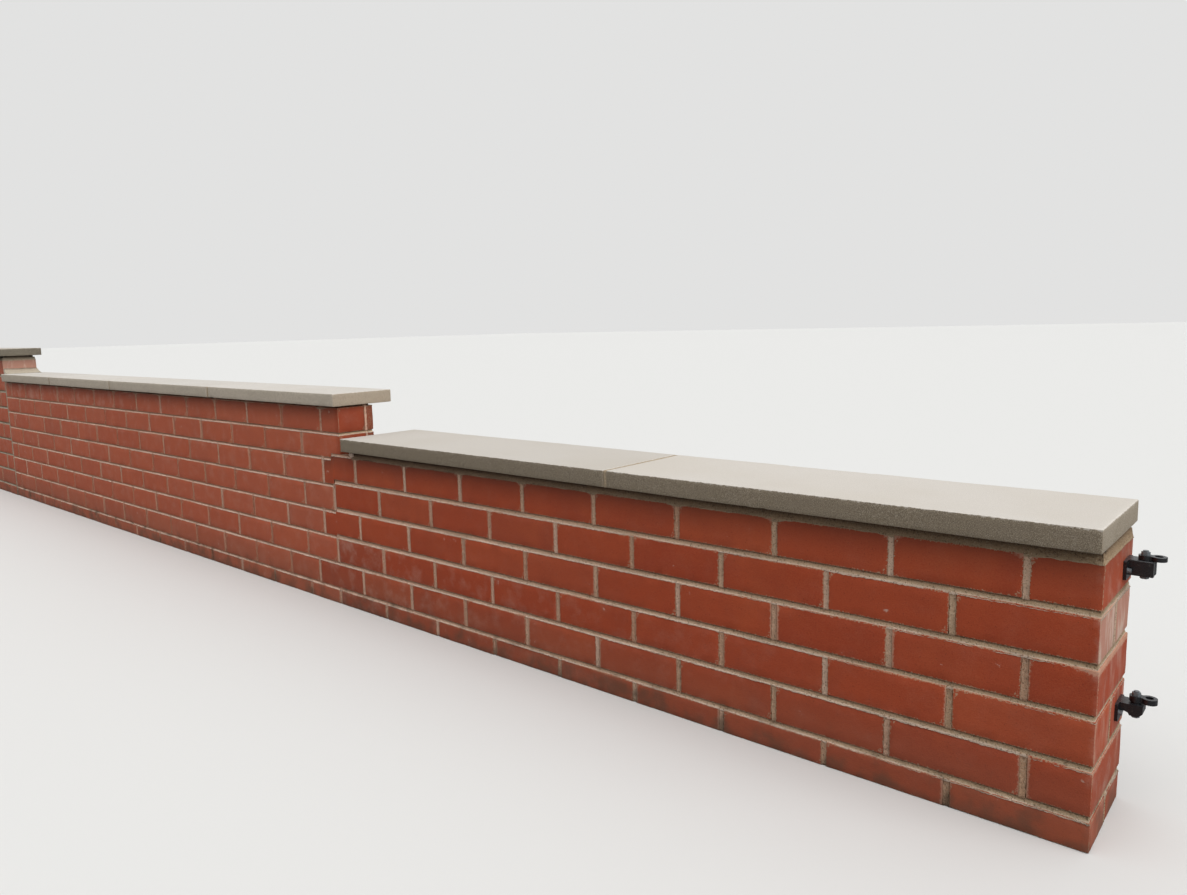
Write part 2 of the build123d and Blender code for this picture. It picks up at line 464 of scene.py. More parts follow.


# Towards the older wall the hollow under the lower coping opens, the painted shade and dirt below
# it and the lime haze on the low courses get heavier, and the mortar turns pinker, less so in the
# coping's bed
lower_gap = rising(3.4, 4.0)
lower_shade_and_grime = rising(0.3, 0.35)
low_haze = rising(0.03, 0.3, 2.0)
lower_tone = rising(GATE_TONE, 0.75, 0.8)
lower_bed_tone = rising(GATE_TONE, 0.3)


def middle_haze(x):
    """Lime haze on the middle bay's top course, stronger towards the left."""
    return 0.05 + 0.4 * np.clip((MIDDLE_END - x) / 2600, 0, 1) ** 2


def middle_tone(x):
    """Pink mortar on the long faces of the middle bay, duller on its open end."""
    return np.where(x > MIDDLE_END - 3, 0.15, MIDDLE_TONE)


def lower_lip(x):
    """How far a lower bed joint laps over the brick below, most near the gate."""
    return 0.9 + 1.8 * np.exp(-(x / 420) ** 2)


def lower_courses():
    """The lower bay's courses from the top, toothed into the older wall."""
    rows = []
    for i in range(1, len(LOWER_BEDS)):
        odd = i % 2 == 1
        regular = perpends(GATE_END - FIRST_PERPENDS[odd], LAST_PERPEND)
        joints = [x + CREEP[i - 1] * (x / CREEP_LENGTH) ** 3 for x in regular]
        joints[0] -= WIDE_HEADER[i - 1]
        rows.append(Course(
            lower_edges(i), THICK, (GATE_END, TOOTH_ENDS[i - 1]), (GATE_END, MIDDLE_END), joints,
            (GATE_HAZE_AND_SHEEN[i - 1], 0.0, GATE_SMEAR[i - 1]), right_header=odd,
            haze=low_haze if i > 3 else 0.03, grime=lower_shade_and_grime if i == 1 else 0.0))
    return rows


def middle_courses():
    """The middle bay's courses from the top. The first two stand free above the step."""
    rows = []
    left = UPPER_END + JOINT / 2
    for i in range(1, len(MIDDLE_BEDS)):
        odd = i % 2 == 1
        free = i <= 2
        right = MIDDLE_END if free else TOOTH_ENDS[i - 3] - JOINT
        behind = MIDDLE_END - (NOTCH_SETBACK if free else 103.0 if odd else 10.0)
        # The top course takes painted shade below its coping, and the open end takes painted shade.
        rows.append(Course(
            level_edges(MIDDLE_BEDS, i), OLD_THICK, (right, left), (behind, left),
            perpends(MIDDLE_PERPENDS[i - 1], left), (0.1, 0.25, 0.0),
            haze=middle_haze if i == 1 else 0.12, grime=0.45 if i == 1 else 0.0, fade=0.4))
    return rows


def upper_courses():
    """The upper bay's courses from the top. Below its free end they meet a straight joint."""
    rows = []
    for i in range(1, len(UPPER_BEDS)):
        odd = i % 2 == 1
        free = i <= UPPER_FREE_COURSES
        right = UPPER_END if free else UPPER_END - JOINT / 2
        first = right - (FIRST_PERPENDS if free else UPPER_PERPENDS)[odd]
        ends = (right, WALL_LEFT)
        # The top course takes painted shade below its coping.
        rows.append(Course(
            level_edges(UPPER_BEDS, i), OLD_THICK, ends, ends, perpends(first, WALL_LEFT, 60.0),
            (1.0, 0.0, 0.0), right_header=free and odd, left_header=odd,
            haze=0.4 if free else 0.15, grime=0.4 if i == 1 else 0.0, fade=0.35))
    return rows


def plan_path(corners, spacing, closed=False):
    """Samples a plan path that has the wall on its left, more coarsely on the back face.

    Returns the points, their outward directions, mitred at corners, and the distances run.
    """
    corners = [np.array(c, float) for c in corners]
    runs = []
    for a, b in zip(corners, corners[1:] + corners[:closed]):
        d = (b - a) / np.linalg.norm(b - a)
        runs.append((a, b, np.array([d[1], -d[0]])))
    points = []
    outs = []
    for i, (a, b, out) in enumerate(runs):
        points.append(a)
        outs.append(out + runs[i - 1][2] if closed or i > 0 else out)
        step = spacing * 3 if out[1] > 0.5 else spacing
        steps = max(1, round(np.linalg.norm(b - a) / step))
        for n in range(1, steps):
            points.append(a + (b - a) * n / steps)
            outs.append(out)
    if not closed:
        points.append(corners[-1])
        outs.append(runs[-1][2])
    points = np.array(points)
    gone = np.concatenate([[0.0], np.cumsum(np.linalg.norm(np.diff(points, axis=0), axis=1))])
    return points, np.array(outs), gone


def tube(count, width, closed=False):
    """Quads round a tube of count rings with width points each, and its first and last ring."""
    quads = []
    for i in range(count if closed else count - 1):
        a, b = i * width, ((i + 1) % count) * width
        for k in range(width):
            n = (k + 1) % width
            quads.append([a + k, a + n, b + n, b + k])
    first = list(range(width))
    return quads, first, [(count - 1) * width + k for k in first]


def turned(quads):
    """The same quads seen from the other side."""
    return [[a, d, c, b] for a, b, c, d in quads]


def sweep(parts, points, outs, offsets, heights, closed, up, tone, grime):
    """Sweeps a section of mortar along a plan path, with its rows from top to bottom.

    The painted light is given for each row of the section, and the painted shade, with some grime, for
    each point of the path.
    """
    count, width = offsets.shape
    xy = points[:, None, :] + outs[:, None, :] * offsets[:, :, None]
    body = np.concatenate([xy, heights[:, :, None]], 2).reshape(-1, 3)
    faces, first, last = tube(count, width, closed)
    if not closed:
        faces += [first[::-1], last]
    parts.add(body, faces, up=np.tile(up, count), grime=np.repeat(grime, width),
              tone=np.repeat(np.broadcast_to(at(tone, points[:, 0]), count), width),
              seed=rng.uniform(0, 1))


def bed_ribbon(parts, corners, above, below, spacing, tone, recess=4.6, lip=0.9, closed=False,
               dull_from=math.inf):
    """A weather-struck bed joint between the courses above and below.

    It is set back under the brick above, and flush and crumbly over the one below. It
    is duller on an end face that lies beyond x = dull_from.
    """
    points, outs, gone = plan_path(corners, spacing, closed)
    count = len(points)
    x = points[:, 0]
    high, low = above.low(x), below.high(x)
    rough, hold = closing_wander(gone, closed)
    deep = recess + 0.9 * rough(60) + 0.6 * rough(11)
    swell = 0.35 * rough(35) + 0.45 * rough(6)
    crumb = np.clip(rng.normal(0, 1, count), -1.5, 2.5) * hold
    drop = np.clip(at(lip, x) + 0.4 * rough(40) + 0.5 * rough(7) + 0.45 * crumb, 0.1, 6.0)
    proud = 0.3 + 0.25 * rough(9) + 0.15 * crumb
    thick = high - low
    offsets = columns(count, -RIBBON_DEPTH, -deep, -deep * 0.97 + 0.4 * rough(5),
                      -deep * 0.85 + swell * 0.7, -deep * 0.6 + swell, -1.9 + 0.6 * swell,
                      proud, -1.3, -RIBBON_DEPTH)
    heights = columns(count, high + 1.0, high + 0.8, high - thick * 0.12, high - thick * 0.4,
                      high - thick * 0.72, low + 0.8, low - drop, low - drop - 1.0, low - 1.2)
    # Painted light down the section: shade in the recess under the brick above, a highlight on the lip
    # below
    up = [0, 0, 0.12, 0.45, 0.72, 0.92, 1, 1, 1]
    sweep(parts, points, outs, offsets, heights, closed, up, tone, 0.2 * (x > dull_from))


def perpend_ribbon(parts, x0, x1, y, side, z0, z1, tone, dust=0.35):
    """The mortar of one perpend between two brick ends, on the face at y."""
    count = max(3, round((z1 - z0) / 3.5))
    z = np.linspace(z0, z1, count)
    gone = z - z0
    deep = 1.7 + 0.7 * wander(gone, 30) + 0.5 * wander(gone, 7)

    def ragged():
        return np.clip(0.2 + 0.9 * wander(gone, 6) + 0.5 * rng.normal(0, 1, count), -0.8, 2.0)

    left = x0 - ragged()
    width = x1 + ragged() - left
    section = [(0.0, RIBBON_DEPTH), (0.03, 0.0), (0.16, 0.9 * deep), (0.5, 1.1 * deep),
               (0.84, 0.8 * deep), (0.97, -0.1 * deep), (1.0, RIBBON_DEPTH)]
    rows = np.stack([columns(count, left + width * share, y - side * inward, z)
                     for share, inward in section], 1)
    faces, bottom, top = tube(count, len(section))
    faces += [bottom[::-1], top]
    if side > 0:
        faces = [face[::-1] for face in faces]
    dust = min(0.92, dust * rng.uniform(0.4, 1.5))
    # Each perpend's mortar takes a painted light level between shaded and lit
    parts.add(rows.reshape(-1, 3), faces, up=rng.uniform(0.6, 0.9), tone=at(tone, x0), dust=dust,
              seed=rng.uniform(0, 1))


def end_perpend(parts, x, side, y0, y1, heights, tone):
    """The collar joint that shows between two brick ends on an end face at x."""
    local = Parts()
    perpend_ribbon(local, y0, y1, 0.0, -1, *heights, tone, 0.2)
    points = local.points[0]
    across = points[:, 0] if side > 0 else y0 + y1 - points[:, 0]
    placed = np.stack([x - side * points[:, 1], across, points[:, 2]], 1)
    parts.add(placed, local.faces, **local.values[0])


def core_box(parts, xs, ys, zs, tone, inset=0.0):
    """Plain mortar filling behind the joints, set in from the faces at xs and ys."""
    sides = [(low + inset, high - inset) for low, high in (xs, ys)]
    points, faces = shell(*(np.array(side) for side in (*sides, zs)))
    # The hidden filling is painted dark, as the shade deep in a joint
    parts.add(points, faces, up=0.1, tone=tone)


def notched_core(parts, inset, split, zs):
    """The filling of the middle bay above the step, where its back leaf stops short."""
    for right, ys in ((MIDDLE_END, (inset, split)), (NOTCH_X, (split, OLD_THICK - inset))):
        core_box(parts, (UPPER_END + inset, right - inset), ys, zs, MIDDLE_TONE)


def point_course(parts, course, tone, right_end=None, left_end=None):
    """The perpends of one course on both faces, and its collar joint on the end faces."""
    half = course.joint / 2
    dust = 0.25 if course.newer else 0.75
    for y, side, leaf in ((0.0, -1, course.front), (course.thick, 1, course.back)):
        for j in course.perpends_of(*leaf):
            perpend_ribbon(parts, j - half, j + half, y, side, *course.heights(j), tone, dust)
    for x, side, header in ((right_end, 1, course.right_header), (left_end, -1, course.left_header)):
        if x is not None and not header:
            end_perpend(parts, x, side, course.depth, course.depth + LEAF_GAP, course.heights(x), tone)


def coping_bed(corners, z0, z1, course, lap, spacing, tone, gap):
    """The mortar bed between a top course and its copings, lapped raggedly over the brick arris.

    gap is the height of the dark hollow left open below the stone.
    """
    points, outs, gone = plan_path(corners, spacing, True)
    count = len(points)
    x = points[:, 0]
    near = np.abs(x[:, None] - course.joints).min(axis=1)
    rough, _ = closing_wander(gone, True)
    at_perpends = lap * (0.25 + 0.9 * np.exp(-(near / 20) ** 2))
    drop = np.clip(at_perpends + lap * 0.3 * rough(40) + 0.8 * rough(6), 0.5, 14)
    face = -2.6 + 0.7 * rough(45) + 0.5 * rough(11)
    roof = z1 - (at(gap, x) + 0.8 * rough(25))
    hollow = -13.0 + 3.0 * rough(50)
    offsets = columns(count, -RIBBON_DEPTH, hollow, hollow + 1.0, face - 0.6 + 0.4 * rough(7),
                      face + 0.9, 0.1, 0.5 + 0.3 * rough(9), -1.4, -RIBBON_DEPTH)
    heights = columns(count, z1 + 0.4, z1 + 0.4, roof, roof - 1.6 + 0.5 * rough(18),
                      z0 + (z1 - z0) * 0.2, z0 - 0.4, z0 - drop, z0 - drop - 1.2, z0 - 1.0)
    # Painted light down the section: deep painted shade in the hollow under the stone
    up = [0, 0, 0, 0.22, 0.45, 0.6, 0.8, 0.8, 0.5]
    # Painted shade in the bed under the stone, with some grime, and a little on the end faces
    grime = np.where(x > course.front[0] - 1, 0.2, 0.6 * at(course.grime, x) + 0.12)
    parts = Parts()
    sweep(parts, points, outs, offsets, heights, True, up, tone, grime)
    return parts


def mortar_lump(parts, centre, half):
    """A squeezed-out lump of mortar, as a rough closed ball."""
    around, rings = 14, 8
    turn = np.arange(around) * 2 * math.pi / around
    rows = []
    for i in range(1, rings):
        slope = math.pi * i / rings
        size = 1 + rng.uniform(-0.14, 0.14, around)
        rows.append(columns(around, np.cos(turn) * math.sin(slope) * size,
                            np.sin(turn) * math.sin(slope) * size, math.cos(slope)))
    points = np.concatenate(rows + [[[0, 0, 1.0], [0, 0, -1.0]]])
    top, bottom = len(points) - 2, len(points) - 1
    quads, first, last = tube(rings - 1, around)
    faces = turned(quads)
    for k in range(around):
        n = (k + 1) % around
        faces += [[top, first[k], first[n]], [bottom, last[n], last[k]]]
    # The lump is painted as fully lit
    parts.add(np.array(centre) + points * np.array(half), faces, up=1.0, tone=0.8)


def coping_flag(node, material, spacing, shade):
    """A stone flag with worn arrises and small knocks along its edges."""
    low, high = node_box(node)
    size = high - low
    radius = 2.2
    points, faces = shell(stops(size[0], radius, round(size[0] / spacing)),
                          stops(size[1], radius, round(size[1] / spacing)), stops(size[2], radius, 4))
    edge = arris_distance(points, size)
    points, out = rounded(points, size, radius)
    push = 0.25 * ripple(points, 400) + 0.1 * ripple(points, 60)
    push -= np.clip(1 - edge / 6, 0, 1) * rng.uniform(0, 0.5, len(points))
    for _ in range(max(3, round(size[0] / 130))):
        knock = np.array([rng.uniform(0, size[0]), rng.choice([0.0, size[1]]), rng.choice([0.0, size[2]])])
        reach = rng.uniform(5, 13)
        depth = rng.uniform(0.6, 1.8)
        apart = np.linalg.norm(points - knock, axis=1)
        push -= depth * np.clip(1 - (apart / reach) ** 2, 0, 1)
    parts = Parts()
    parts.add(points + out * push[:, None] + low, faces, edge=edge * MM, shade=shade)
    parts.build(node + "_stone", material, "coping_stone", node)


def joint_filling(node):
    """The struck mortar between two flags."""
    low, high = node_box(node)
    size = high - low
    points, faces = shell(*(np.linspace(0, side, n) for side, n in zip(size, (4, 50, 8))))
    out = (points - size / 2) / (size / 2)
    open_face = columns(len(points), 0.0, np.abs(out[:, 1]) > 0.99, out[:, 2] > 0.99)
    shift = rng.uniform(-0.5, 0.35, len(points))
    parts = Parts()
    # The filling is painted as fairly well lit
    parts.add(points + np.sign(out) * open_face * shift[:, None] + low, faces, up=0.7, tone=0.05)
    parts.build(node + "_filling", MORTAR, "mortar", node)


def step_fillet():
    """The trowelled mortar fillet at the foot of the upper step."""
    low, high = node_box("upper_step_fillet")
    top = node_box("middle_coping_4")[1][2]
    run = high[0] - UPPER_END
    count = 60
    y = np.linspace(low[1], high[1], count)
    # Each point's distance from the brick and height, and how far roughness moves it both ways
    profile = [(0.0, low[2], 0, 0), (42.0, low[2], 0, 0), (42.0, top - 1.0, 0, 0),
               (run, top + 0.2, 1.8, 0), (run * 0.72, top + 3.0, 0.6, 1),
               (run * 0.45, top + 8.0, 0.6, 1), (run * 0.22, top + 16.0, 0.6, 1), (0.0, high[2], 0, 1)]
    rows = []
    for dx, z, sideways, upwards in profile:
        shift = 1.6 * wander(y - low[1], 45) + 0.8 * wander(y - low[1], 12)
        rows.append(columns(count, UPPER_END + dx + sideways * shift, y, z + upwards * shift))
    quads, first, last = tube(count, len(profile))
    parts = Parts()
    # The fillet is painted as well lit
    parts.add(np.stack(rows, 1).reshape(-1, 3), turned(quads) + [first, last[::-1]], up=0.9,
              tone=UPPER_TONE)
    parts.build("upper_step_mortar", MORTAR, "mortar", "upper_step_fillet")


def colour(r, g, b):
    """A linear colour from 0 to 255 screen values."""
    def line(v):
        v /= 255
        return v / 12.92 if v <= 0.04045 else ((v + 0.055) / 1.055) ** 2.4
    return (line(r), line(g), line(b), 1.0)


class Nodes:
    """A node tree whose nodes are made and linked by short calls."""

    def __init__(self, tree):
        self.tree = tree
        tree.nodes.clear()

    def new(self, kind, inputs=None, **settings):
        """A node with its settings, and a number, colour or link for each input named."""
        node = self.tree.nodes.new("ShaderNode" + kind)
        for name, value in settings.items():
            setattr(node, name, value)
        for key, value in (inputs or {}).items():
            if isinstance(value, bpy.types.NodeSocket):
                self.tree.links.new(value, node.inputs[key])
            else:
                node.inputs[key].default_value = value
        return node

    def maths(self, operation, a, b, clamp=False):
        return self.new("Math", {0: a, 1: b}, operation=operation, use_clamp=clamp).outputs[0]

    def remap(self, value, low, high, to_low=0.0, to_high=1.0, kind="SMOOTHSTEP"):
        inputs = {"Value": value, "From Min": low, "From Max": high, "To Min": to_low, "To Max": to_high}
        return self.new("MapRange", inputs, interpolation_type=kind).outputs[0]

    def split(self, vector):
        return self.new("SeparateXYZ", {0: vector}).outputs

    def either(self, share, a, b):
        """A mix of two shaders."""
        return self.new("MixShader", {"Fac": share, 1: a, 2: b}).outputs[0]


class Shader(Nodes):
    """The node tree of a new material."""

    def __init__(self, name):
        self.material = bpy.data.materials.new(name)
        self.material.use_nodes = True
        super().__init__(self.material.node_tree)
        self.place = self.new("TexCoord").outputs["Object"]
        self.base = None

    def mix(self, share, a, b):
        return self.new("Mix", {"Factor": share, 6: a, 7: b}, data_type="RGBA").outputs[2]

    def cover(self, share, over):
        """Lays a share of a screen colour over the base colour."""
        self.base = self.mix(share, self.base, colour(*over))

    def tint(self, over, value, low=0.35, high=0.75, most=0.3):
        """Lays a screen colour over the base colour, up to a share of most as value rises."""
        self.cover(self.remap(value, low, high, 0, most), over)

    def noise(self, scale, detail=2.0, rough=0.5, stretch=None):
        where = self.place
        if stretch is not None:
            where = self.new("Mapping", {"Scale": stretch, "Vector": where}).outputs["Vector"]
        inputs = {"Scale": scale, "Detail": detail, "Roughness": rough, "Vector": where}
        return self.new("TexNoise", inputs).outputs["Fac"]

    def attribute(self, name):
        return self.new("Attribute", attribute_name=name).outputs["Fac"]

    def ramp(self, value, places, colours):
        """A colour that changes through screen colours at their places from 0 to 1."""
        node = self.new("ValToRGB", {"Fac": value})
        band = node.color_ramp.elements
        while len(band) < len(places):
            band.new(0.5)
        for element, position, shown in zip(band, places, colours):
            element.position = position
            element.color = colour(*shown)
        return node.outputs["Color"]

    def facing(self):
        """The direction that the surface faces, as X, Y and Z."""
        return self.split(self.new("NewGeometry").outputs["Normal"])

    def bump(self, height, distance, strength, under=None):
        inputs = {"Height": height, "Distance": distance, "Strength": strength}
        if under is not None:
            inputs["Normal"] = under
        return self.new("Bump", inputs).outputs["Normal"]

    def surface(self, rough, specular, normal=None):
        """The base colour with this roughness, shine and normal."""
        inputs = {"Base Color": self.base, "Roughness": rough, "Specular IOR Level": specular}
        if normal is not None:
            inputs["Normal"] = normal
        return self.new("BsdfPrincipled", inputs).outputs[0]

    def made(self, surface):
        """The material, with this surface."""
        self.new("OutputMaterial", {"Surface": surface})
        return self.material


def brick_material():
    """Smooth red brick, with lime haze that is partly painted sheen on end faces, mortar film at its
    arrises, dirt near the ground, and painted shade with some grime below copings and on shaded ends.
    """
    s = Shader("red facing brick")
    s.base = s.ramp(s.attribute("seed"), (0.0, 0.3, 0.55, 0.8, 1.0),
                    ((170, 66, 33), (176, 72, 37), (166, 62, 31), (180, 78, 43), (158, 66, 40)))
    s.tint((140, 58, 38), s.noise(13, 3))
    s.tint((196, 94, 52), s.noise(8), 0.5, 0.8)
    s.cover(s.attribute("fade"), (206, 118, 88))
    grain = s.noise(520, 3)
    s.tint((206, 122, 86), grain, 0.3, 0.7, 0.16)
    pits = s.noise(360, 4, 0.6)
    s.tint((92, 40, 27), pits, 0.58, 0.74, 0.5)
    # Lime haze, which on the end faces is partly a painted sky sheen
    haze = s.attribute("haze")
    blotch = s.remap(s.noise(19, 5, 0.62), 0.44, 0.74)
    streak = s.remap(s.noise(30, 4, 0.6, (1.0, 1.0, 0.3)), 0.44, 0.7)
    cover = s.mix(s.remap(haze, 0.4, 0.7), blotch, streak)
    cover = s.maths("MULTIPLY", s.maths("MULTIPLY", cover, haze), s.remap(grain, 0.2, 0.7, 0.5, 1.0))
    cover = s.maths("ADD", cover, s.remap(haze, 0.7, 1.0, 0.0, 0.5), True)
    s.cover(cover, (216, 186, 168))
    reach = s.remap(s.noise(300, 4, 0.65), 0.36, 0.8, 0.0, 0.0052)
    film = s.maths("SUBTRACT", reach, s.attribute("edge"))
    s.tint((188, 156, 126), film, 0.0, 0.0007, 0.85)
    wiped = s.maths("ADD", s.attribute("smear"), s.noise(210, 5, 0.7))
    s.tint((206, 160, 134), wiped, 1.0, 1.24, 0.7)
    # Painted shade below the copings and on shaded end faces, with some grime
    s.cover(s.attribute("grime"), (70, 40, 28))
    lime = s.maths("ADD", s.noise(38), s.maths("MULTIPLY", s.noise(210, 4, 0.7), 0.35))
    s.tint((220, 196, 180), lime, 0.92, 1.0, 0.6)
    height = s.split(s.place)["Z"]
    s.tint((132, 92, 74), height, 0.17, 0.05)
    soil = s.maths("SUBTRACT", s.remap(s.noise(18, 4), 0.3, 0.8, 0.0, 0.085), height)
    s.tint((96, 76, 60), soil, -0.02, 0.05, 0.6)
    normal = s.bump(grain, 0.0005, 0.6, s.bump(s.noise(70, 3), 0.0012, 0.5))
    return s.made(s.surface(s.remap(grain, 0.2, 0.8, 0.6, 0.84), 0.35,
                            s.bump(pits, 0.0006, 0.6, normal)))


def mortar_material():
    """Sand and cement in the colour that tone says, with painted light: painted shade in recesses and
    hollows, a painted highlight on lips that face up.
    """
    s = Shader("weathered mortar")
    up = s.attribute("up")
    # Each ramp runs from painted shade at 0 to a painted highlight at 1
    khaki, pink, grey = [s.ramp(up, (0.0, 0.38, 0.75, 1.0), colours) for colours in (
        ((96, 78, 58), (168, 144, 112), (198, 174, 140), (238, 214, 194)),
        ((122, 84, 66), (206, 160, 136), (238, 196, 172), (252, 224, 206)),
        ((84, 74, 62), (150, 138, 120), (182, 170, 150), (206, 196, 178)))]
    tone = s.attribute("tone")
    s.base = s.mix(s.remap(tone, 0.0, 0.1, 1.0, 0.0), s.mix(tone, khaki, pink), grey)
    s.cover(s.attribute("dust"), (186, 108, 80))
    s.tint((140, 118, 94), s.noise(9, 3))
    sand = s.noise(420, 4, 0.7)
    s.tint((226, 210, 184), sand, 0.5, 0.72, 0.6)
    s.tint((96, 76, 58), s.noise(340, 3, 0.6), 0.53, 0.67, 0.7)
    # Painted shade in hollows under the copings and on end faces, with some grime
    s.cover(s.attribute("grime"), (52, 40, 30))
    soil = s.maths("SUBTRACT", s.remap(s.noise(18, 4), 0.3, 0.8, 0.0, 0.09), s.split(s.place)["Z"])
    s.tint((84, 70, 56), soil, -0.02, 0.05, 0.7)
    normal = s.bump(s.noise(260, 4, 0.65), 0.0022, 0.8)
    return s.made(s.surface(0.93, 0.2, s.bump(sand, 0.0010, 0.8, normal)))


def stone_material(name, top, front, end, stained):
    """Pale reconstituted stone, with darker sides that are stained in bands. The sides are darker partly
    from weathering and partly as painted shade.
    """
    s = Shader(name)
    normal = s.facing()
    upward = s.remap(normal["Z"], 0.45, 0.9)
    sideways = s.remap(s.maths("ABSOLUTE", normal["X"], 0.0), 0.5, 0.9)
    # Sides darker than the top: partly weathering, partly painted shade
    s.base = s.mix(sideways, colour(*front), colour(*end))
    s.tint(stained, s.noise(34, 4, 0.6, (0.5, 0.5, 1.0)))
    cloudy, clear = [s.mix(upward, s.base, colour(*over)) for over in ((206, 196, 180), top)]
    s.base = s.mix(s.remap(s.noise(3.2, 4), 0.4, 0.75, 0, 0.3), clear, cloudy)
    grain = s.noise(1100)
    s.tint((120, 110, 96), grain, most=0.16)
    coarse = s.remap(upward, 0.0, 1.0, 0.55, 0.14)
    dark = s.maths("MULTIPLY", s.remap(s.noise(560, 4, 0.7), 0.46, 0.66), coarse)
    s.cover(dark, (88, 78, 64))
    light = s.maths("MULTIPLY", s.remap(s.noise(680, 3, 0.6), 0.48, 0.68), coarse)
    s.cover(light, (206, 196, 178))
    s.cover(s.attribute("shade"), (118, 110, 96))
    worn = s.maths("SUBTRACT", s.remap(s.noise(150, 4, 0.6), 0.3, 0.75, 0.0, 0.0055), s.attribute("edge"))
    worn = s.maths("MULTIPLY", s.remap(worn, 0.0, 0.0015, 0, 0.45), s.remap(normal["Z"], 0.02, 0.3))
    s.cover(worn, (234, 228, 219))
    bumps = s.bump(grain, 0.0004, 0.5, s.bump(s.noise(90, 3), 0.0006, 0.4))
    return s.made(s.surface(s.remap(grain, 0.2, 0.8, 0.78, 0.92), 0.3, bumps))


def iron_material(name, paint, rough, worn):
    """Gloss paint on iron, rubbed through in places, with a painted bluish sky reflection on faces that
    look up.
    """
    s = Shader(name)
    s.base = colour(*paint)
    s.tint((120, 118, 112), s.noise(160, 4, 0.6), 0.58, 0.72, worn)
    # Painted bluish sky reflection on upward faces
    s.tint((70, 74, 80), s.facing()["Z"], 0.5, 1.0, 0.25)
    return s.made(s.surface(s.remap(s.noise(300, 3), 0.3, 0.7, rough, rough + 0.2), 0.6,
                            s.bump(s.noise(500, 3), 0.0004, 0.5)))


def floor_material():
    """A pale floor that throws back less light than it shows, as dark paving would."""
    s = Shader("pale floor")
    seen = s.new("LightPath").outputs["Is Camera Ray"]
    quiet = s.new("BsdfDiffuse", {"Color": (0.24, 0.24, 0.24, 1)}).outputs[0]
    s.base = colour(228, 228, 226)
    return s.made(s.either(seen, quiet, s.surface(0.95, 0.1)))


BRICK = brick_material()
MORTAR = mortar_material()
PAINT = iron_material("black gate iron", (20, 21, 25), 0.24, 0.2)
# The bolt's pale grey is partly worn zinc and partly a painted highlight
BOLT = iron_material("worn bolt head with painted highlight", (108, 114, 118), 0.28, 0.6)

# Brickwork of the three bays. Half bricks fill the lower bay's toothing behind.
lower_rows = lower_courses()
middle_rows = middle_courses()
upper_rows = upper_courses()

bricks = Parts()
for n, row in enumerate(lower_rows):
    lay_course(bricks, row, LOWER_STEPS, steps=(STEP_X, TOP_STEP_X))
    if n % 2 == 0:
        add_brick(bricks, (MIDDLE_END - 93, MIDDLE_END - 2), (BACK_LEAF, OLD_THICK), row, MIDDLE_STEPS)
bricks.build("lower_bricks", BRICK, "brickwork", "lower_wall")

bricks = Parts()
for row in middle_rows:
    lay_course(bricks, row, MIDDLE_STEPS, steps=(TOP_STEP_X,))
# Slips behind the step, with painted shade on their open end
for row in middle_rows[:2]:
    add_brick(bricks, (NOTCH_X + 6, MIDDLE_END), (OLD_BACK_LEAF, NOTCH_FRONT), row, MIDDLE_STEPS,
              free=(False, True), end_look=(0.0, 0.4, 0.0))
bricks.build("middle_bricks", BRICK, "brickwork", "middle_wall")

bricks = Parts()
for row in upper_rows:
    lay_course(bricks, row, UPPER_STEPS)
bricks.build("upper_bricks", BRICK, "brickwork", "upper_wall")

# Pointing of the lower bay, which returns round its thicker back to the older wall
mortar = Parts()
outline = [(STEP_X, 0), (GATE_END, 0), (GATE_END, THICK), (MIDDLE_END, THICK), (MIDDLE_END, OLD_THICK)]
for above, below in zip(lower_rows, lower_rows[1:]):
    bed_ribbon(mortar, outline, above, below, LOWER_SPACING, lower_tone, recess=3.4, lip=lower_lip,
               dull_from=GATE_END - 1)
for row in lower_rows:
    point_course(mortar, row, lower_tone, right_end=GATE_END)
for above, below in zip(lower_rows, lower_rows[1:]):
    beds = [float(edge(x)) for edge in (above.low, below.high) for x in (STEP_X - 4, STEP_X + 4)]
    core_box(mortar, (STEP_X - 14, STEP_X + 12), (3.5, 40), (min(beds) - 4, max(beds) + 4), STEP_TONE)
core_box(mortar, (MIDDLE_END, GATE_END), (0, THICK), (GROUND, -2.0), GATE_TONE, CORE_DEPTH)
mortar.build("lower_pointing", MORTAR, "mortar", "lower_wall")

# Pointing of the middle bay
mortar = Parts()
middle_outline = [(UPPER_END, 0), (MIDDLE_END, 0), (MIDDLE_END, NOTCH_FRONT), (NOTCH_X, NOTCH_FRONT),
                  (NOTCH_X, OLD_THICK), (UPPER_END, OLD_THICK)]
bed_ribbon(mortar, middle_outline, *middle_rows[:2], MIDDLE_SPACING, middle_tone)
for n, (above, below) in enumerate(zip(middle_rows[1:], middle_rows[2:])):
    step = TOP_STEP_X if n == 0 else STEP_X
    bed_ribbon(mortar, [(UPPER_END + 1, 0), (step, 0)], above, below, MIDDLE_SPACING, MIDDLE_TONE)
    bed_ribbon(mortar, [(MIDDLE_END, OLD_THICK), (UPPER_END + 1, OLD_THICK)], above, below, 10.0,
               MIDDLE_TONE)
for row in middle_rows:
    point_course(mortar, row, MIDDLE_TONE)
for row in middle_rows[:2]:
    end_perpend(mortar, MIDDLE_END, 1, OLD_BRICK_DEPTH, OLD_BACK_LEAF, row.heights(MIDDLE_END),
                MIDDLE_TONE)
for row in middle_rows[2:]:
    for y, side, edge in ((0.0, -1, row.front[0]), (OLD_THICK, 1, row.back[0])):
        perpend_ribbon(mortar, edge, edge + JOINT, y, side, *row.heights(edge, 12), MIDDLE_TONE)
bed_ribbon(mortar, [(TOP_STEP_X, 0), (RAISED_END, 0)], middle_rows[1], lower_rows[0], 4.0,
           MIDDLE_TONE, recess=1.6, lip=0.5)
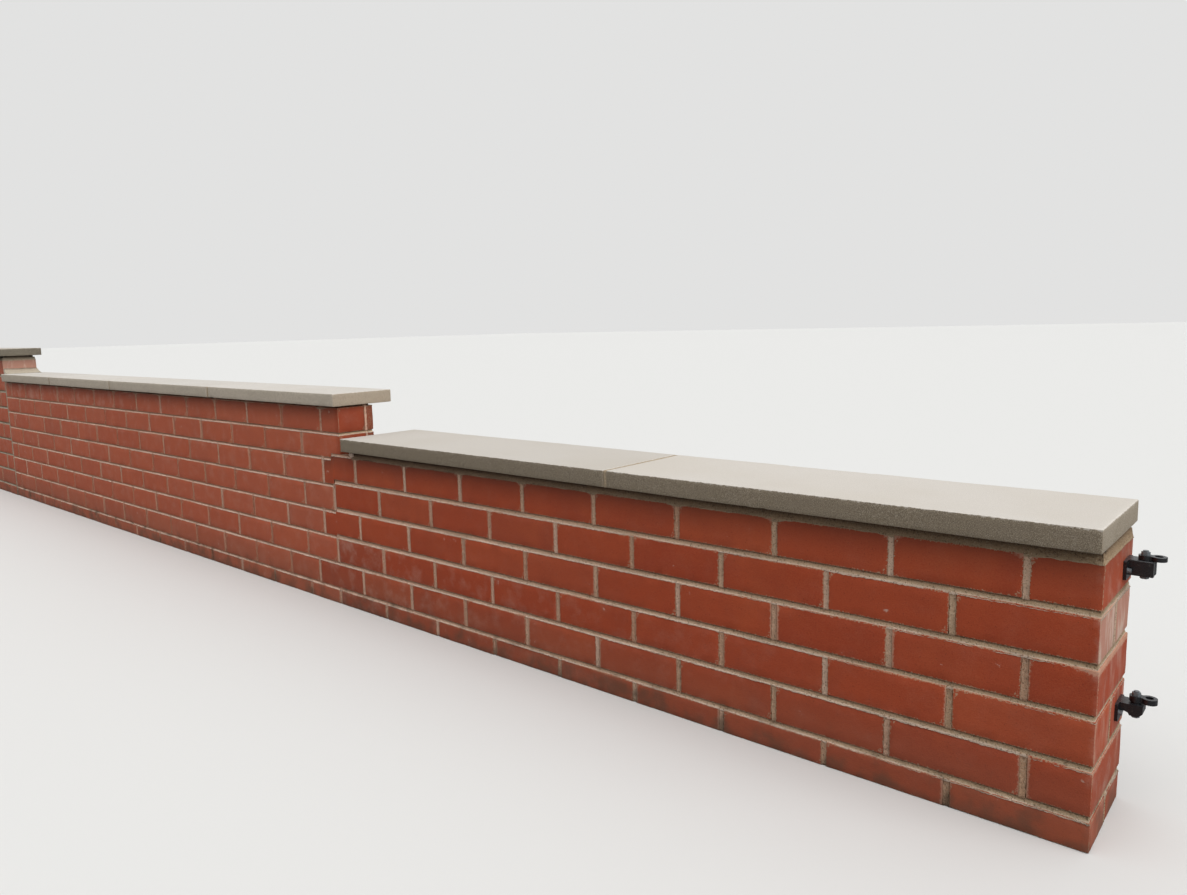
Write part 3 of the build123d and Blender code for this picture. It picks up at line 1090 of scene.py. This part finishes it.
core_box(mortar, (TOP_STEP_X + 1, RAISED_END - 2), (8.0, NOTCH_FRONT - 4), (-1.0, 4.2), MIDDLE_TONE)
core_box(mortar, (UPPER_END - 15, MIDDLE_END + 20), (CORE_DEPTH, OLD_THICK - CORE_DEPTH),
         (GROUND, -2.0), MIDDLE_TONE)
notched_core(mortar, CORE_DEPTH, NOTCH_FRONT - 8, (-2.0, MIDDLE_TOP - 2.0))
mortar.build("middle_pointing", MORTAR, "mortar", "middle_wall")

# Pointing of the upper bay, and the straight joint where the middle bay meets it
mortar = Parts()
upper_outline = [(WALL_LEFT, 0), (UPPER_END, 0), (UPPER_END, OLD_THICK), (WALL_LEFT, OLD_THICK)]
bed_ribbon(mortar, upper_outline, *upper_rows[:2], UPPER_SPACING, UPPER_TONE, closed=True)
open_outline = [(UPPER_END - 1, OLD_THICK), (WALL_LEFT, OLD_THICK), (WALL_LEFT, 0), (UPPER_END - 1, 0)]
for above, below in zip(upper_rows[1:], upper_rows[2:]):
    bed_ribbon(mortar, open_outline, above, below, UPPER_SPACING, UPPER_TONE)
for row in upper_rows:
    point_course(mortar, row, UPPER_TONE, left_end=WALL_LEFT)
for y, side in ((0.0, -1), (OLD_THICK, 1)):
    perpend_ribbon(mortar, UPPER_END - JOINT / 2, UPPER_END + JOINT / 2, y, side, GROUND,
                   MIDDLE_TOP + 8, UPPER_TONE, 0.1)
core_box(mortar, (WALL_LEFT, UPPER_END), (0, OLD_THICK), (GROUND, UPPER_TOP - 2.0), UPPER_TONE,
         CORE_DEPTH)
mortar.build("upper_pointing", MORTAR, "mortar", "upper_wall")

# Mortar beds under the copings
(bed_left, _, _), (_, _, bed_top) = node_box("lower_coping_bed")
bed = coping_bed([(bed_left, 0), (GATE_END, 0), (GATE_END, THICK), (bed_left, THICK)], 0.0, bed_top,
                 lower_rows[0], 4.5, LOWER_SPACING, lower_bed_tone, lower_gap)
core_box(bed, (bed_left, GATE_END), (0, THICK), (-1.5, bed_top), GATE_TONE, BED_CORE_DEPTH)
mortar_lump(bed, (bed_left - 1, 1.0, bed_top * 0.52), (8.0, 8.5, bed_top * 0.5))
bed.build("lower_bed_mortar", MORTAR, "mortar", "lower_coping_bed")

bed_top = node_box("middle_coping_bed")[1][2]
bed = coping_bed(middle_outline, MIDDLE_TOP, bed_top, middle_rows[0], 3.5, MIDDLE_SPACING, 0.5,
                 OLDER_GAP)
notched_core(bed, BED_CORE_DEPTH, NOTCH_FRONT - BED_CORE_DEPTH, (MIDDLE_TOP - 1.5, bed_top))
bed.build("middle_bed_mortar", MORTAR, "mortar", "middle_coping_bed")

bed_top = node_box("upper_coping_bed")[1][2]
bed = coping_bed(upper_outline, UPPER_TOP, bed_top, upper_rows[0], 4.0, UPPER_SPACING, UPPER_TONE,
                 OLDER_GAP)
core_box(bed, (WALL_LEFT, UPPER_END), (0, OLD_THICK), (UPPER_TOP - 1.5, bed_top), UPPER_TONE,
         BED_CORE_DEPTH)
bed.build("upper_bed_mortar", MORTAR, "mortar", "upper_coping_bed")

# Each bay's flags: their grid spacing, how much darker each one is, and the colours of the stone's
# top, front, end and stains. The front and end colours are partly painted shade, most of all on
# the upper bay.
stones = [
    ("lower", 8.0, (0.04, 0.17), (222, 216, 208), (137, 123, 104), (172, 159, 141), (138, 124, 100)),
    ("middle", 12.0, (0.0, 0.04, 0.0, 0.08), (220, 215, 208), (209, 197, 180), (186, 169, 149),
     (180, 168, 150)),
    ("upper", 14.0, (0.1, 0.0), (206, 200, 190), (113, 106, 93), (112, 105, 91), (130, 122, 106))]
for bay, spacing, shades, *colours in stones:
    stone = stone_material(bay + " coping stone", *colours)
    for n, shade in enumerate(shades, 1):
        coping_flag("%s_coping_%d" % (bay, n), stone, spacing, shade)
    for n in range(1, len(shades)):
        joint_filling("%s_coping_joint_%d" % (bay, n))
step_fillet()

# Gate iron keeps its solids and gets worn paint
for name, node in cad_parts.items():
    if "hinge" in name:
        node.data.materials.clear()
        node.data.materials.append(BOLT if ("bolt" in name or "nut" in name) else PAINT)

# Floor, in metres
FLOOR_HALF = 80.0
FLOOR_Z = -0.0005
floor_mesh = bpy.data.meshes.new("floor")
corners = [(FLOOR_HALF * x, FLOOR_HALF * y, FLOOR_Z) for x, y in ((-1, -1), (1, -1), (1, 1), (-1, 1))]
floor_mesh.from_pydata(corners, [], [[0, 1, 2, 3]])
floor_mesh.materials.append(floor_material())
floor = new_object("floor", floor_mesh)

# The world lights from above, more than from the sides, and shows as a pale grey
world = bpy.data.worlds.new("studio")
bpy.context.scene.world = world
world.use_nodes = True
sky = Nodes(world.node_tree)
height = sky.split(sky.new("TexCoord").outputs["Generated"])["Z"]
level = sky.remap(height, 0.0, 1.0, 0.14, 0.94, "LINEAR")
soft = sky.new("Background", {"Color": (1, 1, 1, 1), "Strength": level}).outputs[0]
shown = sky.new("Background", {"Color": (0.76, 0.76, 0.755, 1), "Strength": 1.0}).outputs[0]
rays = sky.new("LightPath").outputs
seen = sky.maths("MAXIMUM", rays["Is Camera Ray"], rays["Is Glossy Ray"])
sky.new("OutputWorld", {"Surface": sky.either(seen, soft, shown)})


def soft_sun(name, towards, level, spread):
    """A broad, even light from one direction. A white surface facing it gains level."""
    data = bpy.data.lights.new(name, "SUN")
    data.energy = level * math.pi
    data.angle = math.radians(spread)
    lamp = new_object(name, data)
    lamp.rotation_mode = "QUATERNION"
    lamp.rotation_quaternion = Vector(towards).to_track_quat("Z", "Y")


soft_sun("overhead", (0.20, -0.28, 0.92), 0.26, 60)
soft_sun("gate side", (0.86, -0.10, 0.42), 0.36, 60)

# Camera, in degrees left of straight at the wall, down from level and rolled about its own axis
CAMERA_AT = (257.9, -1434.5, 367.7)
TURN_LEFT = 41.198
TILT_DOWN = 7.976
ROLL = -1.361
camera_data = bpy.data.cameras.new("camera")
camera_data.sensor_width = 36.0
camera_data.lens = 26.47
camera_data.clip_start = 0.05
camera_data.clip_end = 200.0
camera = new_object("camera", camera_data)
stance = Matrix.Translation(place(CAMERA_AT))
for degrees, axis in ((TURN_LEFT, "Z"), (90 - TILT_DOWN, "X"), (ROLL, "Z")):
    stance @= Matrix.Rotation(math.radians(degrees), 4, axis)
camera.matrix_world = stance
bpy.context.scene.camera = camera

bpy.context.scene.view_settings.view_transform = "Standard"
